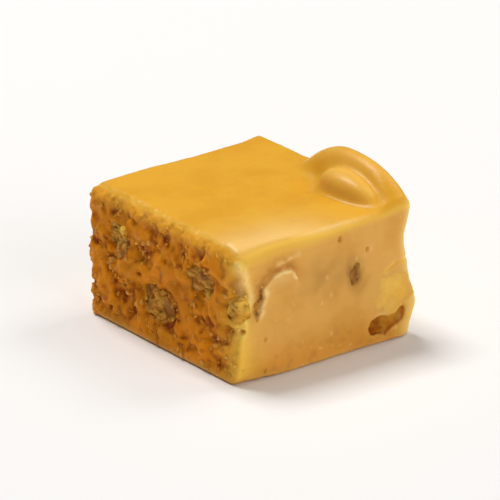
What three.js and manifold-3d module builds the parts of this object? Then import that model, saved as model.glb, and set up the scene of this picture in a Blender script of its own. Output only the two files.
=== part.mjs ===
// Fudge cube: one cut piece of walnut fudge, resting on its flat base.
// Millimetres, +Z up. The origin is at the middle of the base, the front cut face looks
// toward -Y, the torn face toward -X, and the poured skin is on top.

import * as THREE from "three";
import { mergeVertices } from "three/addons/utils/BufferGeometryUtils.js";
import { ImprovedNoise } from "three/addons/math/ImprovedNoise.js";
import Module from "manifold-3d";

const wasm = await Module();
wasm.setup();

// ---------------------------------------------------------------- driving dimensions

const WIDTH = 31.2; // between the torn left face and the right cut face
const DEPTH = 35; // between the front and back cut faces
const HEIGHT = 20; // slab thickness, base to skin
const BULGE_SHIFT = -0.5; // moves the block so that its swollen right side is centred too

const SOFT_EDGE = 2.3; // radius of the skin's edge at the left
const CRISP_EDGE = 1.2; // radius of the same edge at the right
const UPRIGHT_EDGE = 0.9; // radius of the four upright edges
const BASE_EDGE = 0.7; // radius round the base

// The walnut half under the skin at the right edge: a ridge along the cut, and an
// egg-shaped lobe at the foot of its inner slope. Insets run from the right face.
const RIDGE = { height: 4.7, length: 21.9, inset: 1, bluntness: 2.5, half: 3.4 };
const RIDGE_SKEW = 0.12; // how much higher the ridge's far half is
const RIDGE_FLARES = { front: 1.8, far: 1.2 }; // how much wider its two ends are
const RIDGE_ROUNDNESS = 2.4; // 2 is an arch, more is a fuller one
const LOBE = { inset: 4.9, behindFront: 8.3, raised: 0.75, radii: [2.2, 5.1, 2.3] };
const LOBE_CLIMB = 0.09; // how much the lobe's far end is raised, per mm
const LOBE_TAPER = 0.035; // how much the lobe widens toward its far end, per mm
const CORNER_DROOP = 0.95; // how far the skin sinks at the front left corner

const WALNUT_GAP = 0.35; // clearance round each walnut chunk
const CORE_INSET = 2; // depth of the core that the surface is measured from
const EDGE_STEPS = 2; // mesh steps from a face to the middle of its rounded edge
const MESH_STEP = 1.5; // mesh step on the faces

const LEFT = -WIDTH / 2 + BULGE_SHIFT;
const RIGHT = WIDTH / 2 + BULGE_SHIFT;
const FRONT = -DEPTH / 2;
const BACK = DEPTH / 2;

// ---------------------------------------------------------------- small helpers

const noise = new ImprovedNoise();

function grain(x, y, z, size) {
  return noise.noise(x / size + 31.7, y / size + 5.3, z / size + 12.1);
}

function hill(distance, reach) {
  return Math.exp(-((distance / reach) ** 2));
}

function ramp(value, from, to) {
  return THREE.MathUtils.smoothstep(value, from, to);
}

// Joins two shapes with a soft fillet.
function softJoin(a, b, fillet) {
  const share = THREE.MathUtils.clamp(0.5 + (0.5 * (b - a)) / fillet, 0, 1);
  return THREE.MathUtils.lerp(b, a, share) - fillet * share * (1 - share);
}

// Keeps what is inside both shapes, with a rounded edge where they meet.
function roundedMeet(a, b, radius) {
  const outside = Math.hypot(Math.max(a + radius, 0), Math.max(b + radius, 0));
  return Math.min(Math.max(a, b), -radius) + outside;
}

// ---------------------------------------------------------------- form of the block

function topLevel(x, y) {
  const rise = 0.3 * ramp(x + y, -10, 24);
  const flow = 0.2 * Math.sin(x / 4.4 + 0.8) * Math.cos(y / 5.6 + 0.5);
  return HEIGHT + rise + flow - CORNER_DROOP * hill(x - LEFT, 4.5) * hill(y - FRONT, 2.4);
}

// The right face swells low down at its front edge and is drawn in above that.
function rightWall(y, z) {
  const nearFront = hill(y - FRONT, 7);
  const swell = 1.3 * hill(z - 5.2, 2.8) * nearFront;
  const waist = 0.8 * hill(z - 14.6, 2.8) * nearFront;
  const underRidge = 0.4 * ramp(z, HEIGHT - 3, HEIGHT + 2) * (1 - ramp(y, 3, 9));
  const wave = 0.22 * Math.sin(y / 4.1 + 1.1) * Math.sin(z / 3.7 + 0.4);
  return RIGHT + swell - waist + underRidge + wave;
}

// The left face broke instead of being cut, so it is scooped and crumbly.
function leftWall(y, z) {
  const torn = ramp(z, 0, 4) * (1 - 0.7 * ramp(z, HEIGHT - 5, HEIGHT - 1));
  const scoops = 0.9 * Math.max(0, grain(3, y, z, 5.2));
  const crumbs = 0.6 * grain(9, y, z, 2.3);
  const hollow = 0.5 * hill(y + 6, 7) * hill(z - 9, 5);
  return LEFT + 0.25 + torn * (scoops + crumbs + hollow);
}

function frontWall(x, z) {
  const drag = 0.14 * Math.sin(x / 5.2 + z / 3.1);
  const tuckUnder = 0.5 * hill(x - LEFT, 5) * hill(z, 2.2);
  return FRONT + drag + tuckUnder;
}

function backWall(x, z) {
  const drag = 0.16 * Math.sin(x / 4.7 - z / 3.6 + 1.4);
  const crumbs = 0.12 * Math.sin(x / 2.6 + 0.5) * Math.sin(z / 3.3 + x / 6);
  return BACK + drag + crumbs;
}

// The ridge that runs back from the front face, with a rounded crest.
function coatedRidge(x, y, z) {
  const share = THREE.MathUtils.clamp((y - FRONT) / RIDGE.length, 0, 1);
  const arch = 1 - Math.abs(2 * share - 1) ** RIDGE.bluntness;
  const crest = HEIGHT + RIDGE.height * arch * (1 + RIDGE_SKEW * (share - 0.5));
  const frontFlare = RIDGE_FLARES.front * (1 - ramp(share, 0, 0.3));
  const half = RIDGE.half + frontFlare + RIDGE_FLARES.far * ramp(share, 0.5, 1);
  const across = Math.min(Math.abs(x - RIGHT + RIDGE.inset) / half, 1.5);
  const drop = RIDGE.height * across ** RIDGE_ROUNDNESS;
  const slope = ((RIDGE.height * RIDGE_ROUNDNESS) / half) * across ** (RIDGE_ROUNDNESS - 1);
  return (z - crest + drop) / Math.hypot(1, slope);
}

// The egg-shaped lobe, wider and higher toward its far end.
function coatedLobe(x, y, z) {
  const along = y - FRONT - LOBE.behindFront;
  const [width, length, height] = LOBE.radii;
  const across = (x - RIGHT + LOBE.inset) / (width * (1 + LOBE_TAPER * along));
  const above = (z - HEIGHT - LOBE.raised - LOBE_CLIMB * along) / height;
  return width * (Math.hypot(across, along / length, above) - 1);
}

// The skin on top, with the coated walnut standing out of it.
function skin(x, y, z) {
  const dimple = 0.6 * hill(Math.hypot(x - RIGHT + 8.3, y - FRONT - 13), 2);
  const withRidge = softJoin(z - topLevel(x, y) + dimple, coatedRidge(x, y, z), 1.6);
  return softJoin(withRidge, coatedLobe(x, y, z), 1.3);
}

// Negative inside the block, positive outside, zero on its surface.
function blockField(x, y, z) {
  const across = Math.max(x - rightWall(y, z), leftWall(y, z) - x);
  const along = Math.max(frontWall(x, z) - y, y - backWall(x, z));
  const sides = roundedMeet(across, along, UPRIGHT_EDGE);
  const edge = THREE.MathUtils.lerp(SOFT_EDGE, CRISP_EDGE, ramp(x, LEFT + 6, RIGHT - 4));
  return roundedMeet(roundedMeet(sides, skin(x, y, z), edge), -z, BASE_EDGE);
}

// ---------------------------------------------------------------- solids

function solidOf(geometry) {
  const bare = geometry.clone();
  bare.deleteAttribute("normal");
  bare.deleteAttribute("uv");
  const merged = mergeVertices(bare, 1e-4);
  const vertProperties = new Float32Array(merged.attributes.position.array);
  const triVerts = new Uint32Array(merged.index.array);
  return new wasm.Manifold(new wasm.Mesh({ numProp: 3, vertProperties, triVerts }));
}

function geometryOf(solid) {
  const mesh = solid.getMesh();
  const geometry = new THREE.BufferGeometry();
  geometry.setAttribute("position", new THREE.BufferAttribute(mesh.vertProperties, 3));
  geometry.setIndex(new THREE.BufferAttribute(mesh.triVerts, 1));
  geometry.computeVertexNormals();
  return geometry;
}

// Distance from a core point, along a direction, to the block's surface.
function reachOf(core, direction) {
  const point = new THREE.Vector3();
  let inside = 0;
  let outside = 12;
  for (let halving = 0; halving < 24; halving++) {
    const middle = (inside + outside) / 2;
    point.copy(core).addScaledVector(direction, middle);
    if (blockField(point.x, point.y, point.z) < 0) {
      inside = middle;
    } else {
      outside = middle;
    }
  }
  return inside;
}

// A box mesh whose points are pushed out from the core onto the block's surface.
function blockSolid() {
  const halves = [WIDTH / 2 - CORE_INSET, DEPTH / 2 - CORE_INSET, HEIGHT / 2 - CORE_INSET];
  const steps = halves.map((half) => Math.round((2 * half) / MESH_STEP) + 2 * EDGE_STEPS);
  const geometry = new THREE.BoxGeometry(2, 2, 2, ...steps);
  const points = geometry.attributes.position;
  const coreMiddle = new THREE.Vector3(BULGE_SHIFT, 0, HEIGHT / 2);
  const core = new THREE.Vector3();
  const direction = new THREE.Vector3();
  for (let i = 0; i < points.count; i++) {
    for (let axis = 0; axis < 3; axis++) {
      const flatShare = 1 - (2 * EDGE_STEPS) / steps[axis];
      const place = points.getComponent(i, axis);
      const tilt = Math.max(Math.abs(place) - flatShare, 0) / (1 - flatShare);
      const onCore = THREE.MathUtils.clamp(place / flatShare, -1, 1);
      core.setComponent(axis, coreMiddle.getComponent(axis) + onCore * halves[axis]);
      direction.setComponent(axis, Math.sign(place) * Math.tan((tilt * Math.PI) / 4));
    }
    direction.normalize();
    core.addScaledVector(direction, reachOf(core, direction));
    points.setXYZ(i, core.x, core.y, core.z);
  }
  return solidOf(geometry);
}

// A lumpy ellipsoid; extra swells it by that distance all round.
function lump({ at, radii, turn = 0, seed = 1, roughness = 0.16 }, extra = 0) {
  const detail = Math.round(THREE.MathUtils.clamp(Math.max(...radii) / 1.4, 1, 3));
  const geometry = new THREE.IcosahedronGeometry(1, detail);
  const points = geometry.attributes.position;
  const point = new THREE.Vector3();
  const size = new THREE.Vector3(...radii);
  const tilt = new THREE.Euler(0.3 * Math.sin(seed), turn, 0.3 * Math.cos(seed));
  for (let i = 0; i < points.count; i++) {
    point.fromBufferAttribute(points, i);
    const folds = Math.sin(4 * point.x + seed) * Math.cos(5 * point.z - seed);
    const bumps = noise.noise(2.1 * point.x + seed, 2.1 * point.y, 2.1 * point.z - seed);
    point.multiply(size).multiplyScalar(1 + roughness * (0.5 * folds + bumps));
    point.setLength(point.length() + extra);
    point.applyEuler(tilt);
    points.setXYZ(i, point.x + at[0], point.y + at[1], point.z + at[2]);
  }
  return solidOf(geometry);
}

// Places on a face: measured along it, then up, then in from it.
const onFront = (x, z, depth) => [LEFT + x, FRONT + depth, z];
const onBack = (x, z, depth) => [LEFT + x, BACK - depth, z];
const onLeft = (y, z, depth) => [LEFT + depth, FRONT + y, z];
const onRight = (y, z, depth) => [RIGHT - depth, FRONT + y, z];

// ---------------------------------------------------------------- walnut chunks

const walnuts = {
  walnut_front_right: { at: onFront(28, 7.6, 1.4), radii: [4.3, 3.2, 3.6], seed: 2 },
  walnut_front_sliver: { at: onFront(21.1, 12.1, 0.3), radii: [0.8, 1.1, 2], turn: 0.25, seed: 5 },
  walnut_corner: { at: onFront(1.7, 10.7, 1.3), radii: [1.8, 1.8, 2], seed: 3 },
  walnut_left_high: { at: onLeft(8.8, 12.8, 0.9), radii: [2.2, 3.1, 2.4], seed: 7 },
  walnut_left_low: { at: onLeft(18.5, 6.4, 0.8), radii: [2, 4.1, 2.5], seed: 9 },
  walnut_left_back: { at: onLeft(27.6, 13.2, 0.9), radii: [2, 2.5, 3], seed: 4 },
  walnut_right_high: { at: onRight(13, 14.2, 0.8), radii: [2, 2.5, 2.3], seed: 8 },
  walnut_right_mid: { at: onRight(19.2, 9.8, 0.9), radii: [2.4, 3.7, 2.9], seed: 6 },
  walnut_right_low: { at: onRight(27, 5, 0.6), radii: [1.8, 2.8, 2], seed: 11 },
  walnut_back_wide: { at: onBack(9, 11.6, 0.9), radii: [3.4, 2.2, 2.9], seed: 12 },
  walnut_back_low: { at: onBack(11, 5.2, 0.6), radii: [3.3, 1.8, 1.7], seed: 14 },
  walnut_back_high: { at: onBack(24, 13.6, 0.7), radii: [1.9, 1.7, 2.7], seed: 13 },
};

const walnutsInTheirSkin = ["walnut_front_sliver", "walnut_right_low", "walnut_back_high"];

// ---------------------------------------------------------------- hollows in the fudge

// The break down the upright corner at the front left, in two parts, then the two arms of
// the open crescent round the lower side of the walnut at the front right.
const hollows = [
  { at: onFront(-1.6, 13.8, -1.9), radii: [4.9, 4.3, 5.4], seed: 1, roughness: 0.08 },
  { at: onFront(-0.7, 9.2, -0.6), radii: [2.3, 2, 2.4], seed: 5, roughness: 0.1 },
  { at: onFront(26.5, 3, 0.6), radii: [2.8, 2.3, 1.45], turn: -0.15, seed: 4 },
  { at: onFront(28.8, 3.9, 0.5), radii: [1.3, 1.3, 1.8], turn: 0.45, seed: 6 },
];

const droppedCrumbs = [
  { place: onLeft, reach: DEPTH, count: 6, size: 0.8 },
  { place: onRight, reach: DEPTH, count: 3, size: 0.5 },
  { place: onBack, reach: WIDTH, count: 3, size: 0.5 },
];

// Small pits that crumbs left behind, spread evenly by golden steps.
function crumbPits() {
  const pits = [];
  for (const { place, reach, count, size } of droppedCrumbs) {
    for (let i = 0; i < count; i++) {
      const step = pits.length + 1;
      const along = 0.14 + 0.72 * ((0.618 * step) % 1);
      const level = 4 + (HEIGHT - 9) * ((0.755 * step) % 1);
      const radius = size * (0.7 + 0.6 * ((0.57 * step) % 1));
      const radii = [radius, radius, 0.8 * radius];
      pits.push({ at: place(reach * along, level, 0), radii, seed: 20 + step });
    }
  }
  return pits;
}

// The flap scar on the front face: a groove that climbs beside the broken corner and
// arches over the flap.
function scarGroove() {
  const path = new THREE.CatmullRomCurve3([
    new THREE.Vector3(...onFront(4.4, 9.6, 0.1)),
    new THREE.Vector3(...onFront(5.2, 13, 0.1)),
    new THREE.Vector3(...onFront(6.2, 15, 0.1)),
    new THREE.Vector3(...onFront(8.3, 15.9, 0.1)),
    new THREE.Vector3(...onFront(10.6, 15, 0.1)),
  ]);
  const section = new THREE.Shape().absarc(0, 0, 0.5, 0, 2 * Math.PI);
  const options = { steps: 9, extrudePath: path, curveSegments: 3 };
  return solidOf(new THREE.ExtrudeGeometry(section, options));
}

// ---------------------------------------------------------------- the piece

const fudgeLook = { color: 0xd09d51, roughness: 0.45, metalness: 0 };
const walnutLook = { color: 0xd6a447, roughness: 0.6, metalness: 0 };
const walnutSkinLook = { color: 0x93632a, roughness: 0.65, metalness: 0 };

function pieceMesh(name, solid, look) {
  const mesh = new THREE.Mesh(geometryOf(solid), new THREE.MeshStandardMaterial(look));
  mesh.name = name;
  return mesh;
}

function fudgeCube() {
  const group = new THREE.Group();
  const block = blockSolid();
  let fudge = block.subtract(scarGroove());
  for (const hollow of [...hollows, ...crumbPits()]) {
    fudge = fudge.subtract(lump(hollow));
  }
  for (const [name, chunk] of Object.entries(walnuts)) {
    const look = walnutsInTheirSkin.includes(name) ? walnutSkinLook : walnutLook;
    fudge = fudge.subtract(lump(chunk, WALNUT_GAP));
    group.add(pieceMesh(name, block.intersect(lump(chunk)), look));
  }
  group.add(pieceMesh("fudge", fudge, fudgeLook));
  return group;
}

export default fudgeCube();
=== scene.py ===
# Looks for a hand-cut piece of walnut fudge: the poured block, its walnut chunks, the
# loose crumbs on its torn and chipped parts, a pale floor, soft light and the camera.
import math

import bpy
import numpy as np
from mathutils import Euler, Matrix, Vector


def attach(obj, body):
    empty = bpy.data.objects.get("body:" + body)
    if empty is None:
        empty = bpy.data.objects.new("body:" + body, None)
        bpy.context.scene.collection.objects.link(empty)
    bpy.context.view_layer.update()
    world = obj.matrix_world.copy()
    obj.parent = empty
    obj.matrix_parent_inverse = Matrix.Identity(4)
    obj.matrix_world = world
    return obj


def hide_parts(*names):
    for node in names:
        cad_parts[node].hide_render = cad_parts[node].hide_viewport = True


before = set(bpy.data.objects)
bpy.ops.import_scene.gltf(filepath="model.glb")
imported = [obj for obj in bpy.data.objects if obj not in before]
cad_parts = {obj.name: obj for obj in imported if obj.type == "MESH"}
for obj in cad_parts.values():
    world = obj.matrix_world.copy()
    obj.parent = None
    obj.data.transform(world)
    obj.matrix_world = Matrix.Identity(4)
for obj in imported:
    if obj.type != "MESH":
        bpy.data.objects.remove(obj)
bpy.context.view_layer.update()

MM = 0.001

# ---------------------------------------------------------------- sizes of the block, in mm

WIDTH = 31.2
DEPTH = 35.0
HEIGHT = 20.0
BULGE_SHIFT = -0.5
LEFT = -WIDTH / 2 + BULGE_SHIFT
RIGHT = WIDTH / 2 + BULGE_SHIFT
FRONT = -DEPTH / 2
BACK = DEPTH / 2

SOFT_EDGE = 2.3
CRISP_EDGE = 1.2
UPRIGHT_EDGE = 0.9
BASE_EDGE = 0.7

# The coated walnut half at the right edge of the top: a ridge along the cut, and an
# egg-shaped lobe at the foot of its inner slope.
RIDGE_HEIGHT = 4.7
RIDGE_LENGTH = 21.9
RIDGE_INSET = 1.0  # from the right face to its crest
RIDGE_BLUNTNESS = 2.5
RIDGE_SKEW = 0.12  # how much higher its far half is
RIDGE_HALF = 3.4  # half its width
RIDGE_FLARES = (1.8, 1.2)  # how much wider its front and far ends are
RIDGE_ROUNDNESS = 2.4  # 2 is an arch, more is a fuller one
LOBE_AT = (RIGHT - 4.9, FRONT + 8.3, HEIGHT + 0.75)
LOBE_RADII = (2.2, 5.1, 2.3)
LOBE_CLIMB = 0.09  # how much its far end is raised, per mm
LOBE_TAPER = 0.035  # how much it widens toward its far end, per mm

FUDGE_STEP = 0.26  # mesh step of the block
NUT_STEP = 0.2  # mesh step of a walnut chunk
RELIEF_BAND = 1.6  # how near the surface the fine relief is worked out
BOND = 0.2  # how far a walnut chunk reaches into torn fudge
SMEAR_SHARE = 0.3  # share of a chunk's least radius that cut fudge closes over its rim

FACES = ("left", "right", "front", "back", "top", "base")

# ---------------------------------------------------------------- shaping helpers


def hill(distance, reach):
    return np.exp(-np.square(distance / reach))


def ramp(value, start, end):
    share = np.clip((value - start) / (end - start), 0, 1)
    return share * share * (3 - 2 * share)


def soft_join(a, b, fillet):
    """Joins two shapes with a soft fillet."""
    share = np.clip(0.5 + 0.5 * (b - a) / fillet, 0, 1)
    return b + (a - b) * share - fillet * share * (1 - share)


def rounded_meet(a, b, radius):
    """Keeps what is inside both shapes, with a rounded edge where they meet."""
    outside = np.hypot(np.maximum(a + radius, 0), np.maximum(b + radius, 0))
    return np.minimum(np.maximum(a, b), -radius) + outside


def weave(u, v, size):
    """Irregular swells and hollows on a face, about six sizes apart."""
    first = np.sin(u / size + 1.3 * np.sin(0.7 * v / size + 2.1))
    return first * np.cos(1.1 * v / size + 1.7 * np.sin(0.6 * u / size + 0.4))


def lattice_draw(seed):
    draw = np.random.default_rng(seed)
    slopes = draw.normal(size=(256, 3))
    slopes /= np.linalg.norm(slopes, axis=1)[:, None]
    return draw.permutation(256), slopes.T.copy(), draw.random((256, 3)).T.copy()


ORDER, SLOPES, SEEDS = lattice_draw(11)


def lattice_cells(p, size, stretch, shift):
    """Whole cell numbers of each point in a lattice, and its place inside its cell."""
    cells, parts = [], []
    for axis in range(3):
        place = p[:, axis] / (size * stretch[axis]) + shift
        cell = np.floor(place)
        cells.append(cell.astype(int))
        parts.append(place - cell)
    return cells, parts


def lattice_pick(cells, offset):
    x, y, z = (cell + step for cell, step in zip(cells, offset))
    return ORDER[(ORDER[(ORDER[x & 255] + y) & 255] + z) & 255]


def grain(p, size, stretch=(1, 1, 1)):
    """Smooth random field between about -1 and 1."""
    cells, parts = lattice_cells(p, size, stretch, 40.3)
    fades = [part**3 * (part * (part * 6 - 15) + 10) for part in parts]
    total = np.zeros(len(p))
    for corner in np.ndindex(2, 2, 2):
        pick = lattice_pick(cells, corner)
        weight, slope = 1.0, 0.0
        for axis in range(3):
            weight = weight * (fades[axis] if corner[axis] else 1 - fades[axis])
            slope = slope + SLOPES[axis][pick] * (parts[axis] - corner[axis])
        total += weight * slope
    return 1.6 * total


def granules(p, size):
    """Distance to the middle of the nearest granule: 0 there, about 1 between granules."""
    cells, parts = lattice_cells(p, size, (1, 1, 1), 71.7)
    nearest = np.full(len(p), 9.0)
    for offset in np.ndindex(3, 3, 3):
        around = [step - 1 for step in offset]
        pick = lattice_pick(cells, around)
        reach = 0.0
        for axis in range(3):
            reach = reach + np.square(parts[axis] - around[axis] - SEEDS[axis][pick])
        nearest = np.minimum(nearest, reach)
    return np.sqrt(nearest)


def stirred(p, amount, size):
    """The points moved about, so that a pattern on them loses its regular look."""
    shifts = [grain(p + 17.3 * axis, size) for axis in (1, 2, 3)]
    return p + amount * np.stack(shifts, axis=1)


def path_offset(u, v, path):
    """Distance from a path drawn on a face, and which side of it each point is on."""
    nearest = np.full(len(u), 99.0)
    side = np.zeros(len(u))
    for (u0, v0), (u1, v1) in zip(path, path[1:]):
        run, climb = u1 - u0, v1 - v0
        share = ((u - u0) * run + (v - v0) * climb) / (run**2 + climb**2)
        share = np.clip(share, 0, 1)
        distance = np.hypot(u - u0 - share * run, v - v0 - share * climb)
        closer = distance < nearest
        nearest = np.where(closer, distance, nearest)
        side = np.where(closer, np.sign(run * (v - v0) - climb * (u - u0)), side)
    return nearest, side


# ---------------------------------------------------------------- form of the block


def top_level(x, y):
    rise = 0.3 * ramp(x + y, -10, 24)
    droop = 0.95 * hill(x - LEFT, 4.5) * hill(y - FRONT, 2.4)
    return HEIGHT + rise - droop + 0.2 * np.sin(x / 4.4 + 0.8) * np.cos(y / 5.6 + 0.5)


def right_wall(y, z):
    near_front = hill(y - FRONT, 7)
    swell = 1.3 * hill(z - 5.2, 2.8) * near_front
    waist = 0.8 * hill(z - 14.6, 2.8) * near_front
    under_ridge = 0.4 * ramp(z, HEIGHT - 3, HEIGHT + 2) * ramp(y, 9, 3)
    wave = 0.22 * np.sin(y / 4.1 + 1.1) * np.sin(z / 3.7 + 0.4)
    return RIGHT + swell - waist + under_ridge + wave


def left_wall(y, z):
    torn = ramp(z, 0, 4) * (1 - 0.7 * ramp(z, HEIGHT - 5, HEIGHT - 1))
    scoops = 0.5 * np.maximum(0, weave(y, z, 1.7))
    crumbs = 0.3 * weave(y + 7, z, 0.75)
    hollow = 0.5 * hill(y + 6, 7) * hill(z - 9, 5)
    return LEFT + 0.25 + torn * (scoops + crumbs + hollow)


def front_wall(x, z):
    drag = 0.14 * np.sin(x / 5.2 + z / 3.1)
    return FRONT + drag + 0.5 * hill(x - LEFT, 5) * hill(z, 2.2)


def back_wall(x, z):
    drag = 0.16 * np.sin(x / 4.7 - z / 3.6 + 1.4)
    return BACK + drag + 0.12 * np.sin(x / 2.6 + 0.5) * np.sin(z / 3.3 + x / 6)


def coated_ridge(p):
    """The ridge that runs back from the front face, with a rounded crest."""
    x, y, z = p.T
    share = np.clip((y - FRONT) / RIDGE_LENGTH, 0, 1)
    arch = 1 - np.abs(2 * share - 1) ** RIDGE_BLUNTNESS
    crest = HEIGHT + RIDGE_HEIGHT * arch * (1 + RIDGE_SKEW * (share - 0.5))
    flare = RIDGE_FLARES[0] * ramp(share, 0.3, 0) + RIDGE_FLARES[1] * ramp(share, 0.5, 1)
    half = RIDGE_HALF + flare
    across = np.minimum(np.abs(x - RIGHT + RIDGE_INSET) / half, 1.5)
    drop = RIDGE_HEIGHT * across**RIDGE_ROUNDNESS
    slope = RIDGE_HEIGHT * RIDGE_ROUNDNESS / half * across ** (RIDGE_ROUNDNESS - 1)
    return (z - crest + drop) / np.hypot(1, slope)


def coated_lobe(p):
    x, y, z = (p - np.array(LOBE_AT)).T
    width, length, height = LOBE_RADII
    across = x / (width * (1 + LOBE_TAPER * y))
    above = (z - LOBE_CLIMB * y) / height
    return width * (np.sqrt(across**2 + (y / length) ** 2 + above**2) - 1)


def poured_skin(p):
    x, y, z = p.T
    dimple = 0.6 * hill(np.hypot(x - RIGHT + 8.3, y - FRONT - 13), 2.0)
    with_ridge = soft_join(z - top_level(x, y) + dimple, coated_ridge(p), 1.6)
    return soft_join(with_ridge, coated_lobe(p), 1.3)


def wall_distances(p):
    """How far each point is outside each face of the block; negative is inside."""
    x, y, z = p.T
    return {
        "left": left_wall(y, z) - x,
        "right": x - right_wall(y, z),
        "front": front_wall(x, z) - y,
        "back": y - back_wall(x, z),
        "top": poured_skin(p),
        "base": -z,
    }


def block_field(p, walls):
    across = np.maximum(walls["left"], walls["right"])
    along = np.maximum(walls["front"], walls["back"])
    sides = rounded_meet(across, along, UPRIGHT_EDGE)
    crisp = ramp(p[:, 0], LEFT + 6, RIGHT - 4)
    edge = SOFT_EDGE + (CRISP_EDGE - SOFT_EDGE) * crisp
    return rounded_meet(rounded_meet(sides, walls["top"], edge), walls["base"], BASE_EDGE)


def face_shares(walls):
    """1 on a face, falling to 0 about a millimetre round its edge."""
    strongest = np.max([walls[face] for face in FACES], axis=0)
    return {face: ramp(walls[face] - strongest, -1.2, 0) for face in FACES}


# ---------------------------------------------------------------- lumps: walnuts and hollows


def on_front(x, z, depth):
    return (LEFT + x, FRONT + depth, z)


def on_back(x, z, depth):
    return (LEFT + x, BACK - depth, z)


def on_left(y, z, depth):
    return (LEFT + depth, FRONT + y, z)


def on_right(y, z, depth):
    return (RIGHT - depth, FRONT + y, z)


def lump(at, radii, seed, turn=0.0, roughness=0.16):
    angles = (0.3 * math.sin(seed), turn, 0.3 * math.cos(seed))
    return {
        "at": np.array(at),
        "radii": np.array(radii),
        "seed": seed,
        "roughness": roughness,
        "turn": np.array(Euler(angles, "ZYX").to_matrix()),
    }


def lump_field(p, shape):
    """Negative inside a lumpy ellipsoid."""
    local = (p - shape["at"]) @ shape["turn"]
    scaled = local / shape["radii"]
    reach = np.maximum(np.linalg.norm(scaled, axis=1), 1e-6)
    x, y, z = (scaled / reach[:, None]).T
    seed = shape["seed"]
    folds = np.sin(4 * x + seed) * np.cos(5 * z - seed)
    bumps = np.sin(3 * y + 2 * x - seed) * np.cos(3 * z + 2 * y + 2 * seed)
    outline = 1 + shape["roughness"] * (0.6 * folds + 0.5 * bumps)
    return np.linalg.norm(local, axis=1) * (1 - outline / reach)


WALNUTS = {
    "walnut_front_right": lump(on_front(28, 7.6, 1.4), (4.3, 3.2, 3.6), 2),
    "walnut_front_sliver": lump(on_front(21.1, 12.1, 0.3), (0.8, 1.1, 2), 5, turn=0.25),
    "walnut_corner": lump(on_front(1.7, 10.7, 1.3), (1.8, 1.8, 2), 3),
    "walnut_left_high": lump(on_left(8.8, 12.8, 0.9), (2.2, 3.1, 2.4), 7),
    "walnut_left_low": lump(on_left(18.5, 6.4, 0.8), (2, 4.1, 2.5), 9),
    "walnut_left_back": lump(on_left(27.6, 13.2, 0.9), (2, 2.5, 3), 4),
    "walnut_right_high": lump(on_right(13, 14.2, 0.8), (2, 2.5, 2.3), 8),
    "walnut_right_mid": lump(on_right(19.2, 9.8, 0.9), (2.4, 3.7, 2.9), 6),
    "walnut_right_low": lump(on_right(27, 5, 0.6), (1.8, 2.8, 2), 11),
    "walnut_back_wide": lump(on_back(9, 11.6, 0.9), (3.4, 2.2, 2.9), 12),
    "walnut_back_low": lump(on_back(11, 5.2, 0.6), (3.3, 1.8, 1.7), 14),
    "walnut_back_high": lump(on_back(24, 13.6, 0.7), (1.9, 1.7, 2.7), 13),
}
IN_THEIR_SKIN = ("walnut_front_sliver", "walnut_right_low", "walnut_back_high")
IN_TORN_FUDGE = ("walnut_corner", "walnut_left_high", "walnut_left_low", "walnut_left_back")

# How much of a chunk is smeared with fudge, dusky, and in its brown skin.
CUT_FINISH = (0.15, 0.6, 1)
TORN_FINISH = (0, 1, 1)
FINISHES = {
    "walnut_front_right": (0.55, 0, 0.1),
    "walnut_front_sliver": (0.45, 0, 1),
    "walnut_corner": (0, 0.35, 0.35),
}

CHIPPED_CORNER = [
    lump(on_front(-1.6, 13.8, -1.9), (4.9, 4.3, 5.4), 1, roughness=0.08),
    lump(on_front(-0.7, 9.2, -0.6), (2.3, 2, 2.4), 5, roughness=0.1),
]
CRESCENT = [
    lump(on_front(26.5, 3, 0.6), (2.8, 2.3, 1.45), 4, turn=-0.15),
    lump(on_front(28.8, 3.9, 0.5), (1.3, 1.3, 1.8), 6, turn=0.45),
]


def chip_field(p):
    """Negative inside the break at the upright corner."""
    upper, lower = (lump_field(p, shape) for shape in CHIPPED_CORNER)
    return soft_join(upper, lower, 1.0)


# ---------------------------------------------------------------- fine relief

# Paths on the front face, in mm from its lower left corner.
SCAR = [
    (4.3, 9.4),
    (4.7, 11.0),
    (5.3, 12.4),
    (5.2, 13.8),
    (6.3, 14.9),
    (8.3, 15.6),
    (9.9, 15.2),
    (10.6, 14.2),
]
FOLD = [(7.8, 16.4), (9.2, 16.9), (11.2, 17.3)]
CRACK = [(26.8, 10.9), (28.6, 11.9), (31, 12.1)]
SPECKS = [(16.1, 12.6), (15.3, 8.9), (16.9, 9.8), (21.3, 14.2), (24, 15), (17.1, 3.9)]


def scar_marks(p):
    """Distance from the flap scar on the front face, positive on its broken side."""
    u = p[:, 0] - LEFT + 0.3 * grain(p, 1.3)
    v = p[:, 2] + 0.3 * grain(p + 9, 1.1)
    distance, side = path_offset(u, v, SCAR)
    return distance * side


def broken_grain(p, size):
    """Clumps and crumbs of a broken surface, from 0 on their tops to about 1 between them."""
    loose = stirred(p, 0.5 * size, 0.9 * size)
    return 0.65 * granules(loose, size) ** 1.5 + 0.35 * granules(loose + 5, 0.45 * size)


def front_relief(p):
    u, v = p[:, 0] - LEFT, p[:, 2]
    scar = scar_marks(p)
    ends = ramp(u, 12.8, 9.6) * ramp(v, 8.6, 10.4)
    lip = 0.3 * hill(scar + 0.35, 0.6)
    sunk = 0.65 * ramp(scar, -0.1, 0.5) * np.exp(-np.maximum(scar, 0) / 2.4)
    crumbs = hill(scar - 0.35, 0.6) * ramp(v, 14.4, 12.6) * (broken_grain(p, 0.9) - 0.35)
    fold, _ = path_offset(u, v + 0.2 * grain(p, 1.1), FOLD)
    crack, _ = path_offset(u + 0.2 * grain(p, 0.8), v, CRACK)
    lines = 0.25 * hill(crack, 0.2) - 0.18 * hill(fold, 0.4)
    foot = hill(u - 3, 3.6) * hill(v, 1.5) * (0.1 + 0.45 * broken_grain(p, 1.1))
    return ends * (sunk + 0.7 * crumbs - lip) + lines + foot


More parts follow.
